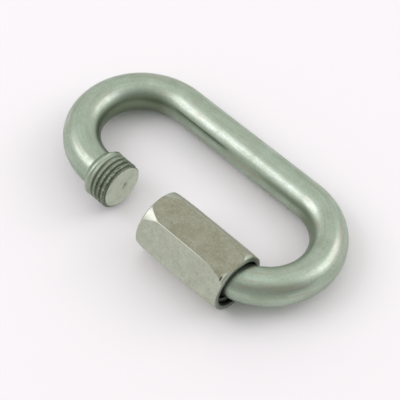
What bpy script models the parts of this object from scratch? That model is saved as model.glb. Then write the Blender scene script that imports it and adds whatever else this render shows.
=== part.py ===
"""Chain quick link: a bent steel rod whose gate is closed by a hexagonal sleeve nut.

The link lies as it comes to rest, on one flat of the nut and on the rod of its back bar, with the
nut run back so that the gate is open. X runs along the link, Y from the gate to the back bar and
Z up. The origin lies on the resting surface, under the middle of the link.
"""
import math

import bmesh
import bpy
from mathutils import Matrix, Vector

# Driving dimensions of the bent rod, in metres
ROD_DIAMETER = 0.012
EYE_LENGTH = 0.080
EYE_WIDTH = 0.027
THREAD_DIAMETER = 0.016
SHORT_END_LENGTH = 0.0104
SHOULDER_LENGTH = 0.0026
THREAD_CHAMFER = 0.0007

# Driving dimensions of the sleeve nut
NUT_LENGTH = 0.0335
NUT_WALL = 0.0014
BORE_CLEARANCE = 0.0001
BORE_LEAD_IN = 0.0005
FRONT_TAPER_LENGTH = 0.0062
FRONT_CORNER_CUT = 0.0011
FRONT_RIM_RADIUS = 0.0006
REAR_TAPER_LENGTH = 0.0075
REAR_CORNER_CUT = 0.0008
REAR_RIM_RADIUS = 0.0010
MOUTH_STEP = 0.00027
MOUTH_DEPTH = 0.0020
MOUTH_EDGE = 0.0002

# The open nut stops just short of the bend, and its front just covers the long threaded end
STOP_CLEARANCE = 0.0004
LONG_END_RECESS = 0.0010

# Fineness of the round shapes
ROD_SIDES = 32
BEND_STEPS = 20
SHOULDER_STEPS = 4
TURNED_SIDES = 60
RIM_STEPS = 3

# Sizes that follow from the ones above
rod_radius = ROD_DIAMETER / 2
thread_radius = THREAD_DIAMETER / 2
bend_radius = (EYE_WIDTH + ROD_DIAMETER) / 2
bend_centre = (EYE_LENGTH - EYE_WIDTH) / 2
bore_radius = thread_radius + BORE_CLEARANCE
mouth_radius = bore_radius + MOUTH_STEP
flat_radius = bore_radius + NUT_WALL
corner_radius = flat_radius / math.cos(math.pi / 6)

# The nut slides back past the straight rod until the inner side of the bend comes up to its mouth
reach_in_mouth = mouth_radius - STOP_CLEARANCE
overrun = math.sqrt((EYE_WIDTH / 2) ** 2 - (bend_radius - reach_in_mouth) ** 2)
nut_front = bend_centre + overrun - NUT_LENGTH
short_face = SHORT_END_LENGTH - bend_centre
long_face = nut_front + LONG_END_RECESS

# The nut is thicker than the rod, so the resting link leans by this angle about X
lean = math.asin((flat_radius - rod_radius) / (2 * bend_radius))
centring = (corner_radius - rod_radius) / 2
gate_place = Vector((0, centring - bend_radius * math.cos(lean), flat_radius))
link_place = Vector((0, centring, (flat_radius + rod_radius) / 2))


def steel(name, colour, roughness):
    """Makes one finish of zinc-plated steel."""
    material = bpy.data.materials.new(name)
    material.use_nodes = True
    shader = material.node_tree.nodes["Principled BSDF"]
    shader.inputs["Base Color"].default_value = (*colour, 1)
    shader.inputs["Metallic"].default_value = 1
    shader.inputs["Roughness"].default_value = roughness
    return material


def shade(mesh, sharp_angle):
    """Shades a mesh smooth, apart from the edges that turn by more than an angle in degrees."""
    mesh.shade_smooth()
    mesh.set_sharp_from_angle(angle=math.radians(sharp_angle))


def add_object(name, bm):
    """Turns a finished bmesh into a named object whose faces point outwards."""
    bmesh.ops.recalc_face_normals(bm, faces=bm.faces)
    mesh = bpy.data.meshes.new(name)
    bm.to_mesh(mesh)
    bm.free()
    piece = bpy.data.objects.new(name, mesh)
    bpy.context.collection.objects.link(piece)
    return piece


def threaded_end(face, bend_end):
    """Stations (x, radius) of a thickened end, from its face up to where the bend begins."""
    inward = math.copysign(1, bend_end - face)
    stations = [
        (face, thread_radius - THREAD_CHAMFER),
        (face + inward * THREAD_CHAMFER, thread_radius),
    ]
    for step in range(SHOULDER_STEPS):
        part = step / SHOULDER_STEPS
        thickening = (1 + math.cos(math.pi * part)) / 2
        x = bend_end - inward * SHOULDER_LENGTH * (1 - part)
        stations.append((x, rod_radius + (thread_radius - rod_radius) * thickening))
    return stations


def rod_stations():
    """Stations (x, y, heading, radius) along the rod, from the short end round to the long one."""
    gate = -bend_radius
    stations = [(x, gate, math.pi, radius) for x, radius in threaded_end(short_face, -bend_centre)]
    for centre, start in ((-bend_centre, -math.pi / 2), (bend_centre, math.pi / 2)):
        for step in range(BEND_STEPS + 1):
            turn = start - math.pi * step / BEND_STEPS
            x = centre + bend_radius * math.cos(turn)
            y = bend_radius * math.sin(turn)
            stations.append((x, y, turn - math.pi / 2, rod_radius))
    for x, radius in reversed(threaded_end(long_face, bend_centre)):
        stations.append((x, gate, math.pi, radius))
    return stations


def rod_section(bm, x, y, heading, radius):
    """Adds a round section of the rod, square to the way the rod runs there."""
    square_on = Matrix.Rotation(heading, 4, "Z") @ Matrix.Rotation(math.pi / 2, 4, "Y")
    place = Matrix.Translation((x, y, 0)) @ square_on
    return bmesh.ops.create_circle(bm, segments=ROD_SIDES, radius=radius, matrix=place)["verts"]


def make_link_body(finish):
    """Bends one round rod, thickened at both ends for the thread, round both eyes of the link."""
    bm = bmesh.new()
    sections = [rod_section(bm, *station) for station in rod_stations()]
    for near, far in zip(sections, sections[1:]):
        for corner in range(ROD_SIDES):
            bm.faces.new((near[corner - 1], near[corner], far[corner], far[corner - 1]))
    bm.faces.new(sections[0])
    bm.faces.new(sections[-1])
    piece = add_object("link_body", bm)
    shade(piece.data, sharp_angle=35)
    piece.data.materials.append(finish)
    piece.location = link_place
    piece.rotation_euler = (-lean, 0, 0)
    return piece


def turned_end(face, inward, taper_length, corner_cut, rim_radius):
    """Points (x, radius) of a turned end: a rounded rim, then a long cone out past the corners."""
    tip_radius = corner_radius - corner_cut
    points = []
    for step in range(RIM_STEPS + 1):
        turn = math.pi / 2 * step / RIM_STEPS
        x = face + inward * rim_radius * (1 - math.cos(turn))
        points.append((x, tip_radius - rim_radius * (1 - math.sin(turn))))
    past_corners = 2 * taper_length - rim_radius
    points.append((face + inward * past_corners, corner_radius + corner_cut))
    return points


def lathe_envelope():
    """Spins the sleeve's turned ends and stepped bore about X into the ring the nut is cut to."""
    outside = turned_end(0, 1, FRONT_TAPER_LENGTH, FRONT_CORNER_CUT, FRONT_RIM_RADIUS)
    rear = turned_end(NUT_LENGTH, -1, REAR_TAPER_LENGTH, REAR_CORNER_CUT, REAR_RIM_RADIUS)
    inside = [
        (NUT_LENGTH, mouth_radius + MOUTH_EDGE),
        (NUT_LENGTH - MOUTH_EDGE, mouth_radius),
        (NUT_LENGTH - MOUTH_DEPTH, mouth_radius),
        (NUT_LENGTH - MOUTH_DEPTH - MOUTH_STEP, bore_radius),
        (BORE_LEAD_IN, bore_radius),
        (0, bore_radius + BORE_LEAD_IN),
    ]
    bm = bmesh.new()
    profile = [bm.verts.new((x, 0, radius)) for x, radius in outside + rear[::-1] + inside]
    edges = [bm.edges.new((profile[i - 1], profile[i])) for i in range(len(profile))]
    bmesh.ops.spin(
        bm,
        geom=profile + edges,
        cent=(0, 0, 0),
        axis=(1, 0, 0),
        angle=math.tau,
        steps=TURNED_SIDES,
    )
    bmesh.ops.remove_doubles(bm, verts=bm.verts, dist=1e-6)
    return add_object("nut_envelope", bm)


def hexagonal_bar():
    """Makes the bar that the nut is turned from: corners towards Y, and a little too long."""
    spare = MOUTH_DEPTH
    bm = bmesh.new()
    end_on = Matrix.Translation((-spare, 0, 0)) @ Matrix.Rotation(math.pi / 2, 4, "Y")
    bmesh.ops.create_circle(bm, cap_ends=True, segments=6, radius=corner_radius, matrix=end_on)
    swept = bmesh.ops.extrude_face_region(bm, geom=bm.faces[:], use_keep_orig=True)["geom"]
    far_end = [item for item in swept if isinstance(item, bmesh.types.BMVert)]
    bmesh.ops.translate(bm, verts=far_end, vec=(NUT_LENGTH + 2 * spare, 0, 0))
    return add_object("sleeve_nut", bm)


def make_sleeve_nut(finish):
    """Cuts the hexagonal bar to its turned ends and stepped bore."""
    nut = hexagonal_bar()
    envelope = lathe_envelope()
    cut = nut.modifiers.new("turning", "BOOLEAN")
    cut.operation = "INTERSECT"
    cut.solver = "EXACT"
    cut.object = envelope
    turned = nut.evaluated_get(bpy.context.evaluated_depsgraph_get())
    mesh = bpy.data.meshes.new_from_object(turned)
    nut.modifiers.remove(cut)
    nut.data = mesh
    bpy.data.objects.remove(envelope)
    mesh.name = nut.name
    mesh.materials.clear()
    mesh.materials.append(finish)
    shade(mesh, sharp_angle=12)
    return nut


for leftover in list(bpy.data.objects):
    bpy.data.objects.remove(leftover)

rod_finish = steel("zinc_plated_rod", (0.62, 0.66, 0.61), 0.36)
nut_finish = steel("zinc_plated_nut", (0.58, 0.59, 0.52), 0.52)

link_body = make_link_body(rod_finish)

# The nut slides and turns about the gate's axis, and its origin is on that axis at its front end
gate_axis = bpy.data.objects.new("gate_axis", None)
gate_axis.location = gate_place
bpy.context.collection.objects.link(gate_axis)
sleeve_nut = make_sleeve_nut(nut_finish)
sleeve_nut.parent = gate_axis
sleeve_nut.location = (nut_front, 0, 0)
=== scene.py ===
"""A chain quick link of zinc-plated steel, lying open on a plain pale floor.

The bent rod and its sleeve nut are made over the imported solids, which say where each one lies.
All lengths are in metres, and azimuths about the gate's axis run from +Y towards +Z.
"""

import math

import bmesh
import bpy
from mathutils import Matrix, Vector


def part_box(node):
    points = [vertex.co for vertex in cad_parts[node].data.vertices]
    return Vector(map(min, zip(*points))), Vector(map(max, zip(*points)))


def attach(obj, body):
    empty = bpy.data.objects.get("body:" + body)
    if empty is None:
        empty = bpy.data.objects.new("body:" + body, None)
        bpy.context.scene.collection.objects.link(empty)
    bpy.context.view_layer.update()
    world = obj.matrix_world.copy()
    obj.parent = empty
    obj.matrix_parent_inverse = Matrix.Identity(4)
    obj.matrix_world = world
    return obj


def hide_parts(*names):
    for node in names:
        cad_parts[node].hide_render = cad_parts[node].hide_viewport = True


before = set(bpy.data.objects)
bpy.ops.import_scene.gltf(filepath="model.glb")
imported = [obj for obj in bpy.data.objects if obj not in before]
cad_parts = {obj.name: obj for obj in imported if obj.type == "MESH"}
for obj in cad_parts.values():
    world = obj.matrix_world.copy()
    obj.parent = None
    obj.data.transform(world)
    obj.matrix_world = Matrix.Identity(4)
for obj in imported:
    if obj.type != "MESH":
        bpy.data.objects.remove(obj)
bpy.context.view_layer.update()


# Camera
# A long lens, held level, looks down on the link from the side of the gate and of the nut.
# Its aim, bearing and distance are those at which the photograph was taken.
CAMERA_AIM = Vector((0.00356, -0.00241, 0.00775))
CAMERA_AZIMUTH = math.radians(44.61)
CAMERA_ELEVATION = math.radians(55.30)
CAMERA_DISTANCE = 0.4587
CAMERA_LENS_MM = 133.87


def bearing(azimuth, elevation):
    """Unit vector towards an azimuth, 0 being on the -Y side and 90 degrees on the +X side."""
    level = math.cos(elevation)
    return Vector((math.sin(azimuth) * level, -math.cos(azimuth) * level, math.sin(elevation)))


camera = bpy.data.objects.new("camera", bpy.data.cameras.new("camera"))
camera.data.lens = CAMERA_LENS_MM
camera.location = CAMERA_AIM + bearing(CAMERA_AZIMUTH, CAMERA_ELEVATION) * CAMERA_DISTANCE
camera.rotation_euler = (camera.location - CAMERA_AIM).to_track_quat("Z", "Y").to_euler()
bpy.context.scene.collection.objects.link(camera)
bpy.context.scene.camera = camera


# Link body
# One round steel rod, thickened and threaded at both ends, bent cold into an oval and then
# zinc-plated. The right-hand thread is rolled, and runs in step across the open gate.
ROD_DIAMETER = 0.012
EYE_WIDTH = 0.027
THREAD_DIAMETER = 0.016
THREAD_PITCH = 0.00175
THREAD_DEPTH = 0.00107
THREAD_START = -0.01885
HALF_PITCH = 0.5
GROOVE_FLOOR = 0.07
GROOVE_MOUTH = 0.42
CREST_SEAM_HALF_WIDTH = 0.09
CREST_SEAM_DEPTH = 0.00028
SHORT_END_LENGTH = 0.0104
LONG_END_RECESS = 0.0010
SHOULDER_LENGTH = 0.0026
END_CHAMFER = 0.0006
EDGE_ROUNDING = 0.00008
EDGE_BULGE = 0.25
SHORT_THREAD_FADES = (-0.0240, -0.0212)
COLLAR_HEIGHT = 0.00012
COLLAR_SLOPE = (0.00060, 0.00030)
FACE_MARK_PLACE = Vector((-0.00135, 0.0))
FACE_MARK_ALONG = Vector((-1.0, 0.9)).normalized()
FACE_MARK_SIZE = (0.0010, 0.00042)
FACE_MARK_DEPTH = 0.0003
FACE_MARK_PAINTED_SHADE = 1.5
ROD_SIDES = 96
THREAD_STEP = 0.0001
FACE_STEP = 0.00025
BEND_STEP = 0.001
BAR_STEP = 0.003

nut_low, nut_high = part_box("sleeve_nut")
rod_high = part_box("link_body")[1]
gate_axis = (nut_low + nut_high) / 2
gate_axis.x = 0
rod_radius = ROD_DIAMETER / 2
thread_radius = THREAD_DIAMETER / 2
bend_radius = (EYE_WIDTH + ROD_DIAMETER) / 2
bend_centre = rod_high.x - rod_radius - bend_radius
bend_length = math.pi * bend_radius
bar_middle = Vector((0, rod_high.y - rod_radius, rod_radius))
link_middle = (gate_axis + bar_middle) / 2
lean = math.atan2(gate_axis.z - bar_middle.z, bar_middle.y - gate_axis.y)
short_face = SHORT_END_LENGTH - bend_centre
long_face = nut_low.x + LONG_END_RECESS


def steps(start, end, step):
    """Evenly spaced values from start up to, but not at, end, no further apart than step."""
    count = max(1, math.ceil(abs(end - start) / step))
    return [start + (end - start) * i / count for i in range(count)]


def clamped(share):
    """A share that is kept between 0 and 1."""
    return min(max(share, 0), 1)


def thickened_end(length):
    """Points (distance from the end face, radius) of a thickened end, its collar and shoulder.

    The collar is a faint step up, behind the thread, to the end's full thickness.
    """
    crest_radius = thread_radius - COLLAR_HEIGHT
    face_radius = crest_radius - END_CHAMFER
    rim = EDGE_ROUNDING
    points = [(0, radius) for radius in steps(0, face_radius - rim, FACE_STEP)]
    points += [(0, face_radius - rim), (rim * EDGE_BULGE, face_radius)]
    points += [(x, face_radius + x) for x in steps(rim, END_CHAMFER - rim, THREAD_STEP)]
    points.append((END_CHAMFER - rim, crest_radius - rim))
    points.append((END_CHAMFER, crest_radius - rim * EDGE_BULGE))
    shoulder = length - SHOULDER_LENGTH
    collar_foot, collar_top = (shoulder - reach for reach in COLLAR_SLOPE)
    for x in steps(END_CHAMFER + THREAD_STEP, length, THREAD_STEP):
        on_collar = clamped((x - collar_foot) / (collar_top - collar_foot))
        on_shoulder = max(x - shoulder, 0) / SHOULDER_LENGTH
        radius = crest_radius + COLLAR_HEIGHT * (1 - math.cos(math.pi * on_collar)) / 2
        radius -= (thread_radius - rod_radius) * (1 - math.cos(math.pi * on_shoulder)) / 2
        points.append((x, radius))
    return points


def turned_mesh(name, azimuths, profile_at, closed):
    """Skins profiles of (x, radius) points round X: a closed ring, or a bar between two poles."""
    bm = bmesh.new()
    columns = []
    poles = {}
    for azimuth in azimuths:
        column = []
        for x, radius in profile_at(azimuth):
            if radius > 0:
                spot = (x, radius * math.cos(azimuth), radius * math.sin(azimuth))
                column.append(bm.verts.new(spot))
            else:
                if x not in poles:
                    poles[x] = bm.verts.new((x, 0, 0))
                column.append(poles[x])
        columns.append(column)
    for near, far in zip(columns, columns[1:] + columns[:1]):
        for i in range(0 if closed else 1, len(near)):
            corners = dict.fromkeys((near[i - 1], far[i - 1], far[i], near[i]))
            bm.faces.new(tuple(corners))
    mesh = bpy.data.meshes.new(name)
    bm.to_mesh(mesh)
    bm.free()
    mesh.shade_smooth()
    piece = bpy.data.objects.new(name, mesh)
    bpy.context.scene.collection.objects.link(piece)
    return piece


def add_marks(piece, marks):
    """Stores named lists of numbers, one for each vertex, as attributes that a shader can read."""
    for name, values in marks.items():
        piece.data.attributes.new(name, "FLOAT", "POINT").data.foreach_set("value", values)


def rod_blank():
    """The straight rod before it is bent: its ends thickened, and its middle at the origin.

    Its marks are the sheared faces, the rims round them, and what the thread is rolled on.
    """
    half_bar = bend_centre + bend_length
    long_end_length = bend_centre - long_face
    low_end = -half_bar - SHORT_END_LENGTH
    short = [(low_end + x, radius) for x, radius in thickened_end(SHORT_END_LENGTH)]
    long = [(half_bar + long_end_length - x, r) for x, r in thickened_end(long_end_length)]
    along = steps(-half_bar, -bend_centre, BEND_STEP)
    along += steps(-bend_centre, bend_centre, BAR_STEP)
    along += steps(bend_centre, half_bar, BEND_STEP) + [half_bar]
    profile = short + [(x, rod_radius) for x in along] + long[::-1]
    azimuths = [math.tau * i / ROD_SIDES for i in range(ROD_SIDES)]
    blank = turned_mesh("quick_link_rod", azimuths, lambda azimuth: profile, closed=False)
    across = FACE_MARK_ALONG.orthogonal()
    for vertex in blank.data.vertices:
        if vertex.co.x < low_end + EDGE_ROUNDING * EDGE_BULGE:
            off = vertex.co.yz - FACE_MARK_PLACE
            spread = (off.dot(FACE_MARK_ALONG) / FACE_MARK_SIZE[0]) ** 2
            spread += (off.dot(across) / FACE_MARK_SIZE[1]) ** 2
            vertex.co.x += FACE_MARK_DEPTH * math.exp(-spread)
    marks = {"sheared": [], "rim": [], "threaded": []}
    for vertex in blank.data.vertices:
        past_bends = abs(vertex.co.x) > half_bar + SHOULDER_LENGTH
        radius = vertex.co.yz.length
        on_face = past_bends and radius < thread_radius - COLLAR_HEIGHT - END_CHAMFER
        dent = (vertex.co.x - low_end) / FACE_MARK_DEPTH
        # Painted shade: in the dent the face loses its pale sheared colour, so the dent looks darker.
        marks["sheared"].append(on_face * clamped(1 - dent * FACE_MARK_PAINTED_SHADE if dent < 1 else 1))
        to_face = min(vertex.co.x - low_end, half_bar + long_end_length - vertex.co.x)
        marks["rim"].append(0 if on_face else clamped(1 - to_face / END_CHAMFER))
        past_collar = abs(vertex.co.x) - half_bar - SHOULDER_LENGTH - COLLAR_SLOPE[1]
        marks["threaded"].append(clamped(past_collar / (COLLAR_SLOPE[0] - COLLAR_SLOPE[1])))
    add_marks(blank, marks)
    return blank


def add_node(tree, kind, feeds=None, **settings):
    """Adds a node with its settings. Each feed is a value, a socket, or a node's first output.

    A feed goes to the socket in use that has its name, or that is at its place among them.
    """
    node = tree.nodes.new(kind)
    for setting, value in settings.items():
        setattr(node, setting, value)
    in_use = [socket for socket in node.inputs if socket.enabled]
    for name, feed in (feeds or {}).items():
        socket = in_use[name] if isinstance(name, int) else next(s for s in in_use if s.name == name)
        if isinstance(feed, bpy.types.Node):
            feed = next(output for output in feed.outputs if output.enabled)
        if isinstance(feed, bpy.types.NodeSocket):
            tree.links.new(feed, socket)
        else:
            socket.default_value = feed
    return node


def geometry_tree(name, sizes):
    """Starts a geometry tree that takes a mesh and named sizes, and gives a mesh."""
    tree = bpy.data.node_groups.new(name, "GeometryNodeTree")
    tree.interface.new_socket("Mesh", in_out="INPUT", socket_type="NodeSocketGeometry")
    for size, value in sizes.items():
        kind = "NodeSocketVector" if isinstance(value, Vector) else "NodeSocketFloat"
        tree.interface.new_socket(size, in_out="INPUT", socket_type=kind)
    tree.interface.new_socket("Mesh", in_out="OUTPUT", socket_type="NodeSocketGeometry")
    return tree, add_node(tree, "NodeGroupInput").outputs


def grown(piece, tree, sizes):
    """Runs a geometry tree on a piece with these sizes, and keeps the outcome as a plain mesh."""
    modifier = piece.modifiers.new(tree.name, "NODES")
    modifier.node_group = tree
    for socket in tree.interface.items_tree:
        if socket.name in sizes:
            modifier[socket.identifier] = sizes[socket.name]
    bpy.context.view_layer.update()
    evaluated = piece.evaluated_get(bpy.context.evaluated_depsgraph_get())
    mesh = bpy.data.meshes.new_from_object(evaluated)
    piece.modifiers.remove(modifier)
    mesh.name = piece.name
    piece.data = mesh
    return piece


THREAD_SIZES = {
    "Axis": gate_axis,
    "Pitch": THREAD_PITCH,
    "Start": THREAD_START,
    "Major radius": thread_radius,
    "Depth": THREAD_DEPTH,
    "Floor": GROOVE_FLOOR,
    "Mouth": GROOVE_MOUTH,
    "Limit": thread_radius + EDGE_ROUNDING,
    "Seam half width": CREST_SEAM_HALF_WIDTH,
    "Seam depth": CREST_SEAM_DEPTH,
}
THREAD_ENDS = ("Low end", "Low full", "High full", "High end")


def screw_thread_tree():
    """Forms one right-hand thread on the round walls about an axis that runs along X.

    Floor, Mouth and Seam half width are counted in pitches from the middle of a groove or, for
    the seam that rolling leaves, of a crest. thread_depth is 1 where the wall moves in furthest:
    on the floor of the rod's grooves, and on top of the ridges that fill them in the nut.
    """
    tree, size = geometry_tree("screw_thread", {**THREAD_SIZES, **dict.fromkeys(THREAD_ENDS, 0.0)})
    place = add_node(tree, "ShaderNodeVectorMath", {
        0: add_node(tree, "GeometryNodeInputPosition"), 1: size["Axis"],
    }, operation="SUBTRACT")
    x, y, z = add_node(tree, "ShaderNodeSeparateXYZ", {0: place}).outputs
    outward = add_node(tree, "ShaderNodeCombineXYZ", {1: y, 2: z})
    radius = add_node(tree, "ShaderNodeVectorMath", {0: outward}, operation="LENGTH")
    azimuth = add_node(tree, "ShaderNodeMath", {0: z, 1: y}, operation="ARCTAN2")
    turn = add_node(tree, "ShaderNodeMath", {0: azimuth, 1: math.tau}, operation="DIVIDE")
    advance = add_node(tree, "ShaderNodeMath", {0: x, 1: size["Start"]}, operation="SUBTRACT")
    pitches = add_node(tree, "ShaderNodeMath", {0: advance, 1: size["Pitch"]}, operation="DIVIDE")
    lag = add_node(tree, "ShaderNodeMath", {0: pitches, 1: turn}, operation="SUBTRACT")
    off_floor = add_node(tree, "ShaderNodeMath", {0: lag, 1: HALF_PITCH}, operation="PINGPONG")
    groove = add_node(tree, "ShaderNodeMapRange", {
        0: off_floor, 1: size["Floor"], 2: size["Mouth"], 3: 1.0, 4: 0.0,
    }, interpolation_type="SMOOTHSTEP")
    fade_in = add_node(tree, "ShaderNodeMapRange", {
        0: x, 1: size["Low end"], 2: size["Low full"],
    }, interpolation_type="SMOOTHSTEP")
    fade_out = add_node(tree, "ShaderNodeMapRange", {
        0: x, 1: size["High full"], 2: size["High end"], 3: 1.0, 4: 0.0,
    }, interpolation_type="SMOOTHSTEP")
    fade = add_node(tree, "ShaderNodeMath", {0: fade_in, 1: fade_out}, operation="MULTIPLY")
    off_crest = add_node(tree, "ShaderNodeMath", {
        0: HALF_PITCH, 1: off_floor,
    }, operation="SUBTRACT")
    seam = add_node(tree, "ShaderNodeMapRange", {
        0: off_crest, 1: 0.0, 2: size["Seam half width"], 3: size["Seam depth"], 4: 0.0,
    })
    sunk = add_node(tree, "ShaderNodeMath", {
        0: groove, 1: size["Depth"], 2: seam,
    }, operation="MULTIPLY_ADD")
    wall = add_node(tree, "ShaderNodeMath", {0: size["Major radius"], 1: sunk}, operation="SUBTRACT")
    spare = add_node(tree, "ShaderNodeMath", {0: radius, 1: wall}, operation="SUBTRACT")
    cut = add_node(tree, "ShaderNodeMath", {0: spare, 1: 0.0}, operation="MAXIMUM")
    faded_cut = add_node(tree, "ShaderNodeMath", {0: cut, 1: fade}, operation="MULTIPLY")
    inward = add_node(tree, "ShaderNodeMath", {0: faded_cut, 1: -1.0}, operation="MULTIPLY")
    offset = add_node(tree, "ShaderNodeVectorMath", {
        0: add_node(tree, "ShaderNodeVectorMath", {0: outward}, operation="NORMALIZE"),
        "Scale": inward,
    }, operation="SCALE")
    near = add_node(tree, "ShaderNodeMath", {0: radius, 1: size["Limit"]}, operation="LESS_THAN")
    in_reach = add_node(tree, "ShaderNodeMath", {0: fade, 1: near}, operation="MULTIPLY")
    depth = add_node(tree, "ShaderNodeMath", {0: groove, 1: fade}, operation="MULTIPLY")
    marked = add_node(tree, "GeometryNodeStoreNamedAttribute", {
        "Geometry": size["Mesh"], "Selection": in_reach, "Name": "thread_depth", "Value": depth,
    }, data_type="FLOAT", domain="POINT")
    cut_mesh = add_node(tree, "GeometryNodeSetPosition", {
        "Geometry": marked, "Selection": in_reach, "Offset": offset,
    })
    add_node(tree, "NodeGroupOutput", {0: cut_mesh})
    return tree


ROD_SIZES = {
    "Bend centre": bend_centre,
    "Bend radius": bend_radius,
    "Middle": link_middle,
    "Lean": lean,
    "Short thread: low end": SHORT_THREAD_FADES[0],
    "Short thread: low full": SHORT_THREAD_FADES[1],
    "Short thread: high full": short_face,
    "Short thread: high end": short_face + THREAD_PITCH,
    "Long thread: low end": long_face - THREAD_PITCH,
    "Long thread: low full": long_face,
    "Long thread: high full": bend_centre,
    "Long thread: high end": bend_centre + THREAD_PITCH,
}


def bent_rod_tree(material):
    """Bends the straight rod round both formers, leans it into place and threads its ends."""
    tree, size = geometry_tree("bent_rod", {**THREAD_SIZES, **ROD_SIZES})
    straight = add_node(tree, "GeometryNodeInputPosition")
    kept = add_node(tree, "GeometryNodeStoreNamedAttribute", {
        "Geometry": size["Mesh"], "Name": "rod_place", "Value": straight,
    }, data_type="FLOAT_VECTOR", domain="POINT")
    x, y, z = add_node(tree, "ShaderNodeSeparateXYZ", {0: straight}).outputs
    side = add_node(tree, "ShaderNodeMath", {0: x}, operation="SIGN")
    reach = add_node(tree, "ShaderNodeMath", {0: x}, operation="ABSOLUTE")
    on_bar = add_node(tree, "ShaderNodeMath", {0: reach, 1: size["Bend centre"]}, operation="MINIMUM")
    off_bar = add_node(tree, "ShaderNodeMath", {0: reach, 1: on_bar}, operation="SUBTRACT")
    half_turn = add_node(tree, "ShaderNodeMath", {
        0: size["Bend radius"], 1: math.pi,
    }, operation="MULTIPLY")
    in_bend = add_node(tree, "ShaderNodeMath", {0: off_bar, 1: half_turn}, operation="MINIMUM")
    past = add_node(tree, "ShaderNodeMath", {0: off_bar, 1: in_bend}, operation="SUBTRACT")
    turn = add_node(tree, "ShaderNodeMath", {0: in_bend, 1: size["Bend radius"]}, operation="DIVIDE")
    outer = add_node(tree, "ShaderNodeMath", {0: size["Bend radius"], 1: y}, operation="ADD")
    sine = add_node(tree, "ShaderNodeMath", {0: turn}, operation="SINE")
    cosine = add_node(tree, "ShaderNodeMath", {0: turn}, operation="COSINE")
    round_end = add_node(tree, "ShaderNodeMath", {
        0: outer, 1: sine, 2: on_bar,
    }, operation="MULTIPLY_ADD")
    along = add_node(tree, "ShaderNodeMath", {0: round_end, 1: past}, operation="SUBTRACT")
    bent = add_node(tree, "ShaderNodeCombineXYZ", {
        0: add_node(tree, "ShaderNodeMath", {0: along, 1: side}, operation="MULTIPLY"),
        1: add_node(tree, "ShaderNodeMath", {0: outer, 1: cosine}, operation="MULTIPLY"),
        2: z,
    })
    oval = add_node(tree, "GeometryNodeSetPosition", {"Geometry": kept, "Position": bent})
    tilt = add_node(tree, "ShaderNodeMath", {0: size["Lean"], 1: -1.0}, operation="MULTIPLY")
    mesh = add_node(tree, "GeometryNodeTransform", {
        "Geometry": oval,
        "Translation": size["Middle"],
        "Rotation": add_node(tree, "ShaderNodeCombineXYZ", {0: tilt}),
    })
    shared = {name: size[name] for name in THREAD_SIZES}
    for name in ("Short thread", "Long thread"):
        reach = {end: size[f"{name}: {end.lower()}"] for end in THREAD_ENDS}
        mesh = add_node(tree, "GeometryNodeGroup", {
            **shared, **reach, "Mesh": mesh,
        }, node_tree=screw_thread)
    whole = add_node(tree, "GeometryNodeRealizeInstances", {0: mesh})
    finished = add_node(tree, "GeometryNodeSetMaterial", {0: whole, "Material": material})
    add_node(tree, "NodeGroupOutput", {0: finished})
    return tree


def linear(hex_colour):
    """Turns an sRGB hex colour into the linear colour that a shader takes."""
    channels = [int(hex_colour[i:i + 2], 16) / 255 for i in (1, 3, 5)]
    return (*(c / 12.92 if c <= 0.04045 else ((c + 0.055) / 1.055) ** 2.4 for c in channels), 1)


def metal(name):
    """A new metal whose shader is ready for its colour, roughness and bump."""
    material = bpy.data.materials.new(name)
    material.use_nodes = True
    shader = material.node_tree.nodes["Principled BSDF"]
    shader.inputs["Metallic"].default_value = 1
    return material, material.node_tree, shader.inputs


ROD_ZINC = "#AEBCAC"
ROD_ZINC_DULL = "#99A792"
ROD_ZINC_STAINED = "#A19E8D"
# Painted shade: a darker zinc for the inner side of each bend.
ROD_ZINC_BEND_SHADE = "#77836D"
FORMER_LINE_ZINC = "#74846D"
# Painted shadow: a darker zinc where the rod runs into the nut's mouth.
NUT_MOUTH_SHADOW_ZINC = "#6A7165"
THREADED_ZINC = "#A2AC9A"
THREAD_TARNISH_ZINC = "#5C6853"
THREAD_FLOOR_ZINC = "#87917F"
# Painted shade: near-black zinc for the thread's groove where it meets each end face's chamfer.
THREAD_CREVICE_SHADE_ZINC = "#10180C"
SHEARED_ZINC = "#CCD4C2"
SMEARED_ZINC = "#BBC3B0"
CLOUD_SIZE = 0.006
CLOUD_WEIGHT = 0.5
STREAK_WIDTH = 0.0009
STREAK_STRETCH = 0.06
STREAK_WEIGHT = 0.4
CRYSTAL_SIZE = 0.00055
CRYSTAL_WEIGHT = 0.5
STAIN_SIZE = 0.0016
STAIN_STRETCH = 0.12
STAIN_STRENGTH = 0.75
SMEAR_SIZE = 0.0025
# Each span is the stretch of its noise over which the finish changes.
DULL_SPAN = (0.56, 0.84)
STAIN_SPAN = (0.54, 0.74)
TARNISH_SPAN = (0.40, 0.60)
SMEAR_SPAN = (0.45, 0.65)
SATIN_SPAN = (0.54, 0.86)
ROD_ROUGHNESS = (0.31, 0.42)
THREADED_ROUGHNESS = 0.52
THREADED_GRAIN = 4.0
SHEARED_METALLIC = 0.4
SHEARED_ROUGHNESS = 0.6
BEND_SHADE_FROM = (0.60, 1.0)
BEND_ONSET = (bend_centre - 0.002, bend_centre + 0.010)
NUT_MOUTH_SHADOW_REACH = (0.0050, 0.0079)
TARNISH_ONSET = (bend_centre + bend_length + 0.0036, bend_centre + bend_length + 0.0080)
FORMER_LINE_AZIMUTH = math.radians(155.3)
FORMER_LINE_MIDDLE = -0.0150
FORMER_LINE_HALF_WIDTHS = (0.00010, 0.00045)
FORMER_LINE_REACH = 0.0095
FORMER_LINE_FADE = 0.003
FORMER_LINE_DENT = 3.0
STREAK_BUMP = {"Strength": 0.3, "Distance": 0.00004}
CRYSTAL_BUMP = {"Strength": 0.35, "Distance": 0.00003}


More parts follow.
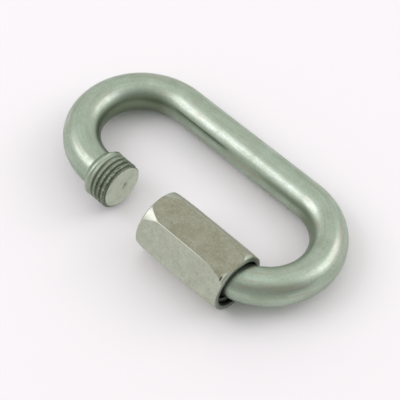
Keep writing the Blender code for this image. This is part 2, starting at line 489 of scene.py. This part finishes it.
def zinc_plated_rod():
    """Bright zinc over cold-drawn rod: satin, with faint lines along the rod and dull clouds.

    The lines come from the die, and the clouds and warm stains from uneven passivation. The
    inner sides of the bends are painted darker as painted shade, and so is the rod where it runs
    into the nut's mouth, as painted shadow; the former has pressed one line into the back bar.
    The thread is rougher, with dark grooves and patchy tarnish, and its last groove beside each
    face is painted nearly black as painted shade. The sheared faces are pale and smeared. Zinc's
    crystals are finer than the render can show, so they are drawn half a millimetre across.
    """
    material, tree, shader = metal("zinc_plated_drawn_steel")
    place = add_node(tree, "ShaderNodeAttribute", attribute_name="rod_place").outputs["Vector"]
    depth, threaded, rim, sheared = (
        add_node(tree, "ShaderNodeAttribute", attribute_name=name).outputs["Fac"]
        for name in ("thread_depth", "threaded", "rim", "sheared")
    )
    x, y, z = add_node(tree, "ShaderNodeSeparateXYZ", {0: place}).outputs
    clouds = add_node(tree, "ShaderNodeTexNoise", {
        "Vector": place, "Scale": 1 / CLOUD_SIZE, "Detail": 3.0, "Roughness": 0.6,
    })
    streaks = add_node(tree, "ShaderNodeTexNoise", {
        "Vector": add_node(tree, "ShaderNodeMapping", {
            "Vector": place, "Scale": (STREAK_STRETCH, 1, 1),
        }),
        "Scale": 1 / STREAK_WIDTH, "Detail": 3.0,
    })
    crystals = add_node(tree, "ShaderNodeTexNoise", {
        "Vector": place, "Scale": 1 / CRYSTAL_SIZE, "Detail": 2.0, "Roughness": 0.7,
    })
    stains = add_node(tree, "ShaderNodeTexNoise", {
        "Vector": add_node(tree, "ShaderNodeMapping", {
            "Vector": place, "Scale": (STAIN_STRETCH, 1, 1),
        }),
        "Scale": 1 / STAIN_SIZE, "Detail": 3.0, "Distortion": 0.5,
    })
    smears = add_node(tree, "ShaderNodeTexNoise", {
        "Vector": place, "Scale": 1 / SMEAR_SIZE, "Detail": 4.0, "Roughness": 0.6,
    })
    uneven = 0.0
    weights = ((crystals, CRYSTAL_WEIGHT), (streaks, STREAK_WEIGHT), (clouds, CLOUD_WEIGHT))
    for noise, weight in weights:
        uneven = add_node(tree, "ShaderNodeMath", {
            0: noise, 1: weight, 2: uneven,
        }, operation="MULTIPLY_ADD")
    dullness = add_node(tree, "ShaderNodeMapRange", {0: uneven, 1: DULL_SPAN[0], 2: DULL_SPAN[1]})
    stained = add_node(tree, "ShaderNodeMapRange", {
        0: stains, 1: STAIN_SPAN[0], 2: STAIN_SPAN[1], 4: STAIN_STRENGTH,
    })

    # Painted shade: the inner side of each bend is made darker, from where the bend starts.
    inward = add_node(tree, "ShaderNodeMath", {0: y, 1: -rod_radius}, operation="DIVIDE")
    inner_side = add_node(tree, "ShaderNodeMapRange", {
        0: inward, 1: BEND_SHADE_FROM[0], 2: BEND_SHADE_FROM[1],
    }, interpolation_type="SMOOTHSTEP")
    reach = add_node(tree, "ShaderNodeMath", {0: x}, operation="ABSOLUTE")
    in_bend = add_node(tree, "ShaderNodeMapRange", {
        0: reach, 1: BEND_ONSET[0], 2: BEND_ONSET[1],
    }, interpolation_type="SMOOTHSTEP")
    painted_bend_shade = add_node(tree, "ShaderNodeMath", {0: inner_side, 1: in_bend}, operation="MULTIPLY")

    azimuth = add_node(tree, "ShaderNodeMath", {0: z, 1: y}, operation="ARCTAN2")
    from_line = add_node(tree, "ShaderNodeMath", {0: x, 1: FORMER_LINE_MIDDLE}, operation="SUBTRACT")
    aside = add_node(tree, "ShaderNodeMath", {0: azimuth, 1: FORMER_LINE_AZIMUTH}, operation="SUBTRACT")
    off_line = add_node(tree, "ShaderNodeMath", {
        0: add_node(tree, "ShaderNodeMath", {0: aside}, operation="ABSOLUTE"), 1: rod_radius,
    }, operation="MULTIPLY")
    across_line = add_node(tree, "ShaderNodeMapRange", {
        0: off_line, 1: FORMER_LINE_HALF_WIDTHS[0], 2: FORMER_LINE_HALF_WIDTHS[1], 3: 1.0, 4: 0.0,
    }, interpolation_type="SMOOTHSTEP")
    line_end = add_node(tree, "ShaderNodeMapRange", {
        0: add_node(tree, "ShaderNodeMath", {0: from_line}, operation="ABSOLUTE"),
        1: FORMER_LINE_REACH, 2: FORMER_LINE_REACH + FORMER_LINE_FADE, 3: 1.0, 4: 0.0,
    })
    pressed = add_node(tree, "ShaderNodeMath", {0: across_line, 1: line_end}, operation="MULTIPLY")

    # Painted shadow: the long end and the last millimetres of the bend before it are made darker.
    widening = add_node(tree, "ShaderNodeMath", {
        0: y, 1: 1 / bend_radius, 2: 1.0,
    }, operation="MULTIPLY_ADD")
    from_end = add_node(tree, "ShaderNodeMath", {
        0: bend_centre + bend_length, 1: x,
    }, operation="SUBTRACT")
    into_bend = add_node(tree, "ShaderNodeMath", {0: from_end, 1: widening}, operation="MULTIPLY")
    nut_mouth_shadow = add_node(tree, "ShaderNodeMapRange", {
        0: into_bend, 1: NUT_MOUTH_SHADOW_REACH[0], 2: NUT_MOUTH_SHADOW_REACH[1], 3: 1.0, 4: 0.0,
    }, interpolation_type="SMOOTHSTEP")

    past_shoulder = add_node(tree, "ShaderNodeMapRange", {
        0: reach, 1: TARNISH_ONSET[0], 2: TARNISH_ONSET[1],
    })
    patchy = add_node(tree, "ShaderNodeMapRange", {
        0: crystals, 1: TARNISH_SPAN[0], 2: TARNISH_SPAN[1],
    })
    tarnished = add_node(tree, "ShaderNodeMath", {
        0: past_shoulder, 1: patchy,
    }, operation="MULTIPLY")
    # Painted shade: the groove within each end face's chamfer is made nearly black.
    painted_crevice_shade = add_node(tree, "ShaderNodeMath", {0: depth, 1: rim}, operation="MULTIPLY")
    streaky = add_node(tree, "ShaderNodeMapRange", {0: smears, 1: SMEAR_SPAN[0], 2: SMEAR_SPAN[1]})
    smeared = add_node(tree, "ShaderNodeMath", {0: sheared, 1: streaky}, operation="MULTIPLY")

    zinc = linear(ROD_ZINC)
    layers = (
        (dullness, ROD_ZINC_DULL), (stained, ROD_ZINC_STAINED), (painted_bend_shade, ROD_ZINC_BEND_SHADE),
        (pressed, FORMER_LINE_ZINC), (nut_mouth_shadow, NUT_MOUTH_SHADOW_ZINC), (threaded, THREADED_ZINC),
        (tarnished, THREAD_TARNISH_ZINC), (depth, THREAD_FLOOR_ZINC), (painted_crevice_shade, THREAD_CREVICE_SHADE_ZINC),
        (sheared, SHEARED_ZINC), (smeared, SMEARED_ZINC),
    )
    for share, colour in layers:
        zinc = add_node(tree, "ShaderNodeMix", {
            0: share, 1: zinc, 2: linear(colour),
        }, data_type="RGBA")
    tree.links.new(zinc.outputs[2], shader["Base Color"])
    metallic = add_node(tree, "ShaderNodeMapRange", {0: sheared, 3: 1.0, 4: SHEARED_METALLIC})
    tree.links.new(metallic.outputs[0], shader["Metallic"])
    satin = add_node(tree, "ShaderNodeMapRange", {
        0: uneven, 1: SATIN_SPAN[0], 2: SATIN_SPAN[1], 3: ROD_ROUGHNESS[0], 4: ROD_ROUGHNESS[1],
    })
    roughness = add_node(tree, "ShaderNodeMix", {0: threaded, 1: satin, 2: THREADED_ROUGHNESS})
    roughness = add_node(tree, "ShaderNodeMix", {0: sheared, 1: roughness, 2: SHEARED_ROUGHNESS})
    tree.links.new(roughness.outputs[0], shader["Roughness"])
    line_bump = add_node(tree, "ShaderNodeBump", {
        "Height": add_node(tree, "ShaderNodeMath", {
            0: pressed, 1: -FORMER_LINE_DENT, 2: streaks,
        }, operation="MULTIPLY_ADD"),
        **STREAK_BUMP,
    })
    grain = add_node(tree, "ShaderNodeMapRange", {0: threaded, 3: 1.0, 4: THREADED_GRAIN})
    grain_bump = add_node(tree, "ShaderNodeBump", {
        "Height": add_node(tree, "ShaderNodeMath", {0: crystals, 1: grain}, operation="MULTIPLY"),
        "Normal": line_bump, **CRYSTAL_BUMP,
    })
    tree.links.new(grain_bump.outputs[0], shader["Normal"])
    return material


screw_thread = screw_thread_tree()
rod = grown(rod_blank(), bent_rod_tree(zinc_plated_rod()), {**THREAD_SIZES, **ROD_SIZES})
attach(rod, "link")
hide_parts("link_body")


# Sleeve nut
# A long nut made from drawn hexagonal steel bar: each end is turned to a long shallow taper
# with a rounded rim. Its thread is cut from a lead-in to near the rear mouth, where it runs out.
NUT_WALL_ROUNDING = 0.0003
NUT_BORE_RADIUS = 0.0081
NUT_THREAD_DEPTH = 0.00105
NUT_THREAD_FLOOR = 0.02
NUT_THREAD_MOUTH = 0.36
NUT_THREAD_FADES = (0.0032, 0.0040, 0.0308, 0.0341)
FRONT_TAPER_LENGTH = 0.0062
FRONT_CORNER_CUT = 0.0011
FRONT_RIM_RADIUS = 0.0006
FRONT_LEAD_IN = 0.0005
BORE_EDGE_ROUNDING = 0.00008
REAR_TAPER_LENGTH = 0.0075
REAR_CORNER_CUT = 0.0008
REAR_RIM_RADIUS = 0.0010
MOUTH_EDGE = 0.00012
DEGREES_OFF_CORNER = (
    0.3, 0.6, 0.9, 1.3, 2, 3, 4.3,
    5.8, 7.4, 9, 10.7, 12.4, 14.2, 16.2, 18.4, 20.8, 23.6, 26.7,
)
RIM_POINTS = 7
TAPER_POINTS = 7
MIDDLE_POINTS = 6
SHORTEST_TAPER = 0.00012
PAST_TAPER = (0.00015, 0.0006)
TURNED_MARGIN = 0.00001
BURNISHED_UP_TO = (0.0225, 0.0255)
BURNISHED_DEPTH = 0.00009
# Each face's lightness: partly uneven plating, partly painted light and shade on the faces in view.
FACE_TONE_AND_LIGHT = (0.21, 0.14, 0.69, 0.46, 0.34, 0.58)
NUT_MARKS = ("bored", "turned", "faced", "burnished", "face_tone_and_light")
NUT_THREAD_STEP = 0.00012

nut_length = nut_high.x - nut_low.x
flat_radius = (nut_high.z - nut_low.z) / 2
corner_radius = flat_radius / math.cos(math.pi / 6)


def hexagon_radius(azimuth):
    """Radius of the drawn bar, whose corners are slightly rounded and point along Y."""
    from_corner = abs((azimuth + math.pi / 6) % (math.pi / 3) - math.pi / 6)
    centre = corner_radius - NUT_WALL_ROUNDING / math.cos(math.pi / 6)
    tangent = math.atan2(NUT_WALL_ROUNDING / 2, centre + NUT_WALL_ROUNDING * math.cos(math.pi / 6))
    if from_corner < tangent:
        off = centre * math.sin(from_corner)
        return centre * math.cos(from_corner) + math.sqrt(NUT_WALL_ROUNDING ** 2 - off ** 2)
    return flat_radius / math.cos(math.pi / 6 - from_corner)


def turned_end(radius, taper_length, corner_cut, rim_radius):
    """Points (distance from the end, radius) where the turned end runs up to the bar's skin."""
    tip = corner_radius - corner_cut
    slope = corner_cut / (taper_length - rim_radius)
    on_rim = min(1.0, 1 - (tip - radius) / rim_radius)
    last_turn = math.asin(on_rim)
    points = []
    for i in range(RIM_POINTS):
        turn = last_turn * i / (RIM_POINTS - 1)
        points.append((rim_radius * (1 - math.cos(turn)), tip - rim_radius * (1 - math.sin(turn))))
    start = points[-1][0]
    end = max(rim_radius + (radius - tip) / slope, start + SHORTEST_TAPER)
    for i in range(1, TAPER_POINTS):
        x = start + (end - start) * i / (TAPER_POINTS - 1)
        points.append((x, min(radius, tip + slope * max(0, x - rim_radius))))
    for past in PAST_TAPER:
        points.append((end + past, radius))
    return points


def nut_profile(azimuth):
    """The sleeve's section at an azimuth, round from its front face to its bore and back."""
    radius = hexagon_radius(azimuth)
    front = turned_end(radius, FRONT_TAPER_LENGTH, FRONT_CORNER_CUT, FRONT_RIM_RADIUS)
    rear = turned_end(radius, REAR_TAPER_LENGTH, REAR_CORNER_CUT, REAR_RIM_RADIUS)
    rear = [(nut_length - x, r) for x, r in rear[::-1]]
    gap = (rear[0][0] - front[-1][0]) / (MIDDLE_POINTS + 1)
    middle = [(front[-1][0] + gap * (i + 1), radius) for i in range(MIDDLE_POINTS)]
    edge = BORE_EDGE_ROUNDING
    mouth = NUT_BORE_RADIUS + MOUTH_EDGE
    bore = [(nut_length, mouth + edge), (nut_length - edge * EDGE_BULGE, mouth)]
    along = steps(nut_length - MOUTH_EDGE, FRONT_LEAD_IN, NUT_THREAD_STEP)
    bore += [(x, NUT_BORE_RADIUS) for x in along]
    front_mouth = NUT_BORE_RADIUS + FRONT_LEAD_IN
    bore += [(FRONT_LEAD_IN, NUT_BORE_RADIUS), (edge, front_mouth - edge)]
    bore += [(edge * EDGE_BULGE, front_mouth), (0, front_mouth + edge)]
    return front + middle + rear + bore


def nut_blank():
    """The turned and bored hexagon, before its thread is cut, in its place on the gate's axis.

    Its marks say how its skin was worked, and how light each face is: partly the plating barrel's
    uneven tone and partly painted light and shade. The rear taper is as dull as the faces, and
    takes its lightness from the face before it.
    """
    azimuths = []
    for corner in range(6):
        middle = corner * math.pi / 3
        off = [math.radians(degrees) for degrees in DEGREES_OFF_CORNER]
        azimuths += [middle - a for a in off[::-1]] + [middle] + [middle + a for a in off]
        azimuths.append(middle + math.pi / 6)
    blank = turned_mesh("quick_link_nut", azimuths, nut_profile, closed=True)
    marks = {name: [] for name in NUT_MARKS}
    for vertex in blank.data.vertices:
        radius = vertex.co.yz.length
        azimuth = math.atan2(vertex.co.z, vertex.co.y) % math.tau
        skin = hexagon_radius(azimuth)
        bored = radius < NUT_BORE_RADIUS + TURNED_MARGIN
        turned = not bored and radius < skin - TURNED_MARGIN
        burnished = not turned and skin > corner_radius - BURNISHED_DEPTH
        on_face = not EDGE_ROUNDING < vertex.co.x < nut_length - EDGE_ROUNDING
        on_rear_taper = turned and nut_length / 2 < vertex.co.x < nut_length - REAR_RIM_RADIUS
        to_dull = (BURNISHED_UP_TO[1] - vertex.co.x) / (BURNISHED_UP_TO[1] - BURNISHED_UP_TO[0])
        before = azimuth - math.pi / 6 if on_rear_taper else azimuth
        marks["bored"].append(bored)
        marks["turned"].append(turned and not on_rear_taper)
        marks["faced"].append(turned and on_face)
        marks["burnished"].append(burnished * clamped(to_dull))
        marks["face_tone_and_light"].append(FACE_TONE_AND_LIGHT[int(before % math.tau // (math.pi / 3))])
    add_marks(blank, marks)
    blank.data.transform(Matrix.Translation(gate_axis + Vector((nut_low.x, 0, 0))))
    return blank


def threaded_nut_tree(material):
    """Cuts the nut's thread, in step with the rod's, as ridges that stand into its bore."""
    tree, size = geometry_tree("threaded_nut", NUT_SIZES)
    threaded = add_node(tree, "GeometryNodeGroup", {
        name: size[name] for name in ("Mesh", *NUT_SIZES)
    }, node_tree=screw_thread)
    whole = add_node(tree, "GeometryNodeRealizeInstances", {0: threaded})
    finished = add_node(tree, "GeometryNodeSetMaterial", {0: whole, "Material": material})
    add_node(tree, "NodeGroupOutput", {0: finished})
    return tree


NUT_ZINC = "#C2C9B8"
NUT_ZINC_DULL = "#8A8B74"
NUT_SPECK_ZINC = "#7E8170"
NUT_TURNED_ZINC = "#B2B9A8"
NUT_FACED_ZINC = "#8F968A"
NUT_BURNISHED_ZINC = "#B4BAAA"
# Painted shade: the bore is coloured nearly black, with only the thread's ridges lighter.
BORE_SHADE_BLACK = "#343830"
THREAD_RIDGE_ZINC = "#A0A698"
NICK_OLIVE = "#4A4E3A"
NICK_PLACE = Vector((0.03220, -0.00591, 0.00829))
NICK_TILT = math.radians(40)
NICK_SIZE = (0.00045, 0.0012, 0.0014)
NICK_EDGE = (0.4, 1.0)
NICK_RELIEF = 2.0
NUT_PATCH_SIZE = 0.003
NUT_SPECK_SIZE = 0.0007
NUT_SPECK_WEIGHT = 1.5
NUT_UNEVEN_SPAN = (0.95, 1.55)
NUT_MOTTLING = 0.2
NUT_SPECKLE_SPAN = (0.40, 0.28)
NUT_SPECKLE_STRENGTH = 0.5
NUT_SATIN_SPAN = (0.3, 0.7)
NUT_ROUGHNESS = (0.55, 0.70)
TURNED_ROUGHNESS = 0.37
BURNISHED_ROUGHNESS = 0.42
NUT_METALLIC = 0.6
NUT_BUMP = {"Strength": 0.5, "Distance": 0.00006}


def zinc_plated_nut():
    """Dull zinc over drawn hexagonal bar: warm, mottled and grained where the bar's skin is left.

    The turned ends are smoother, and the corners are burnished by other nuts in the plating
    barrel. Each face has its own lightness, partly the barrel's uneven plating and partly painted
    light and shade. The bore is painted nearly black as painted shade, and only the ridges of the
    thread are left lighter. One knock has left a dark nick at the rear rim. The grain is finer than
    the render can show, so it is drawn seven tenths of a millimetre across.
    """
    material, tree, shader = metal("barrel_plated_zinc")
    place = add_node(tree, "ShaderNodeTexCoord").outputs["Object"]
    bored, turned, faced, burnished, face_tone_and_light, ridge = (
        add_node(tree, "ShaderNodeAttribute", attribute_name=name).outputs["Fac"]
        for name in (*NUT_MARKS, "thread_depth")
    )
    patches = add_node(tree, "ShaderNodeTexNoise", {
        "Vector": place, "Scale": 1 / NUT_PATCH_SIZE, "Detail": 4.0, "Roughness": 0.6,
    })
    specks = add_node(tree, "ShaderNodeTexNoise", {
        "Vector": place, "Scale": 1 / NUT_SPECK_SIZE, "Detail": 3.0, "Roughness": 0.75,
    })
    uneven = add_node(tree, "ShaderNodeMath", {
        0: specks, 1: NUT_SPECK_WEIGHT, 2: patches,
    }, operation="MULTIPLY_ADD")
    mottling = add_node(tree, "ShaderNodeMapRange", {
        0: uneven, 1: NUT_UNEVEN_SPAN[0], 2: NUT_UNEVEN_SPAN[1], 3: -NUT_MOTTLING, 4: NUT_MOTTLING,
    })
    # The per-face lightness added here is partly painted light and shade.
    lightness = add_node(tree, "ShaderNodeMath", {
        0: mottling, 1: face_tone_and_light,
    }, operation="ADD", use_clamp=True)
    speckled = add_node(tree, "ShaderNodeMapRange", {
        0: specks, 1: NUT_SPECKLE_SPAN[0], 2: NUT_SPECKLE_SPAN[1], 4: NUT_SPECKLE_STRENGTH,
    })

    nick_place = gate_axis + Vector((nut_low.x, 0, 0)) + NICK_PLACE
    from_nick = add_node(tree, "ShaderNodeMapping", {
        "Vector": place, "Location": nick_place, "Rotation": (NICK_TILT, 0, 0), "Scale": NICK_SIZE,
    }, vector_type="TEXTURE")
    off_nick = add_node(tree, "ShaderNodeVectorMath", {0: from_nick}, operation="LENGTH")
    nicked = add_node(tree, "ShaderNodeMapRange", {
        0: off_nick, 1: NICK_EDGE[0], 2: NICK_EDGE[1], 3: 1.0, 4: 0.0,
    }, interpolation_type="SMOOTHSTEP")

    # In the layers below, the bore's near-black is painted shade.
    zinc = linear(NUT_ZINC_DULL)
    layers = (
        (lightness, NUT_ZINC), (speckled, NUT_SPECK_ZINC), (turned, NUT_TURNED_ZINC),
        (faced, NUT_FACED_ZINC), (burnished, NUT_BURNISHED_ZINC), (bored, BORE_SHADE_BLACK),
        (ridge, THREAD_RIDGE_ZINC), (nicked, NICK_OLIVE),
    )
    for share, colour in layers:
        zinc = add_node(tree, "ShaderNodeMix", {
            0: share, 1: zinc, 2: linear(colour),
        }, data_type="RGBA")
    tree.links.new(zinc.outputs[2], shader["Base Color"])
    roughness = add_node(tree, "ShaderNodeMapRange", {
        0: specks, 1: NUT_SATIN_SPAN[0], 2: NUT_SATIN_SPAN[1],
        3: NUT_ROUGHNESS[0], 4: NUT_ROUGHNESS[1],
    })
    roughness = add_node(tree, "ShaderNodeMix", {0: turned, 1: roughness, 2: TURNED_ROUGHNESS})
    roughness = add_node(tree, "ShaderNodeMix", {0: burnished, 1: roughness, 2: BURNISHED_ROUGHNESS})
    tree.links.new(roughness.outputs[0], shader["Roughness"])
    bare = add_node(tree, "ShaderNodeMath", {0: turned, 1: burnished}, operation="ADD")
    bare = add_node(tree, "ShaderNodeMath", {0: bare, 1: bored}, operation="ADD", use_clamp=True)
    metallic = add_node(tree, "ShaderNodeMix", {0: bare, 1: NUT_METALLIC, 2: 1.0})
    tree.links.new(metallic.outputs[0], shader["Metallic"])
    relief = add_node(tree, "ShaderNodeMath", {
        0: nicked, 1: -NICK_RELIEF, 2: specks,
    }, operation="MULTIPLY_ADD")
    grain = add_node(tree, "ShaderNodeBump", {"Height": relief, **NUT_BUMP})
    tree.links.new(grain.outputs[0], shader["Normal"])
    return material


NUT_SIZES = {
    **THREAD_SIZES,
    "Major radius": NUT_BORE_RADIUS,
    "Depth": NUT_THREAD_DEPTH,
    "Floor": NUT_THREAD_FLOOR,
    "Mouth": NUT_THREAD_MOUTH,
    "Limit": NUT_BORE_RADIUS + EDGE_ROUNDING,
    "Seam depth": 0.0,
    **{end: nut_low.x + reach for end, reach in zip(THREAD_ENDS, NUT_THREAD_FADES)},
}
nut = grown(nut_blank(), threaded_nut_tree(zinc_plated_nut()), NUT_SIZES)
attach(nut, "nut")
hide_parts("sleeve_nut")


# Floor
# A wide plain sheet of matte white board under the link. It takes the link's soft shadow.
FLOOR_SIZE = 6
FLOOR_WHITE = "#ECECEA"

bm = bmesh.new()
bmesh.ops.create_grid(bm, x_segments=1, y_segments=1, size=FLOOR_SIZE / 2)
board = bpy.data.objects.new("floor", bpy.data.meshes.new("floor"))
bm.to_mesh(board.data)
bm.free()
bpy.context.scene.collection.objects.link(board)
white_board = bpy.data.materials.new("matte_white_board")
white_board.use_nodes = True
board_shader = white_board.node_tree.nodes["Principled BSDF"].inputs
board_shader["Base Color"].default_value = linear(FLOOR_WHITE)
board_shader["Roughness"].default_value = 1.0
board_shader["Specular IOR Level"].default_value = 0.0
board.data.materials.append(white_board)


# Light
# A white tent, darker on the camera's side, with a softbox behind it on the right and another
# on the left. The bearing, height, width and radiance of each softbox, and the magenta in its
# white, are those that the highlights on the two bends show.
TENT_LEVEL = 1.05
TENT_FOOT_SHARE = 0.78
TENT_DARK_SIDE = bearing(math.radians(53), math.radians(18))
TENT_DARK_SHARE = 0.5
TENT_DARK_FADES = (0.48, 0.80)
SOFTBOX_DISTANCE = 1.0
SOFTBOX_WHITE = "#FAEBFF"
SOFTBOXES = {
    "softbox_behind": {"azimuth": 146, "elevation": 36, "size": (0.60, 0.48), "radiance": 2.5},
    "softbox_left": {"azimuth": -52, "elevation": 45, "size": (0.62, 0.56), "radiance": 2.5},
}

for name, box in SOFTBOXES.items():
    lamp = bpy.data.lights.new(name, "AREA")
    lamp.shape = "RECTANGLE"
    lamp.size, lamp.size_y = box["size"]
    lamp.energy = box["radiance"] * math.pi * lamp.size * lamp.size_y
    lamp.color = linear(SOFTBOX_WHITE)[:3]
    softbox = bpy.data.objects.new(name, lamp)
    towards = bearing(math.radians(box["azimuth"]), math.radians(box["elevation"]))
    softbox.location = towards * SOFTBOX_DISTANCE
    softbox.rotation_euler = towards.to_track_quat("Z", "Y").to_euler()
    bpy.context.scene.collection.objects.link(softbox)

tent = bpy.data.worlds.new("white_tent")
tent.use_nodes = True
bpy.context.scene.world = tent
sky = tent.node_tree
direction = add_node(sky, "ShaderNodeTexCoord").outputs["Generated"]
facing = add_node(sky, "ShaderNodeVectorMath", {
    0: direction, 1: TENT_DARK_SIDE,
}, operation="DOT_PRODUCT")
height = add_node(sky, "ShaderNodeSeparateXYZ", {0: direction}).outputs["Z"]
wall = add_node(sky, "ShaderNodeMapRange", {
    0: height, 1: 0.0, 2: 1.0, 3: TENT_LEVEL * TENT_FOOT_SHARE, 4: TENT_LEVEL,
})
shade = add_node(sky, "ShaderNodeMapRange", {
    0: facing, 1: TENT_DARK_FADES[0], 2: TENT_DARK_FADES[1], 3: 1.0, 4: TENT_DARK_SHARE,
}, interpolation_type="SMOOTHSTEP")
level = add_node(sky, "ShaderNodeMath", {0: wall, 1: shade}, operation="MULTIPLY")
sky.links.new(level.outputs[0], sky.nodes["Background"].inputs["Strength"])
sky.nodes["Background"].inputs["Color"].default_value = (1, 1, 1, 1)


# Colour view
bpy.context.scene.view_settings.view_transform = "Standard"
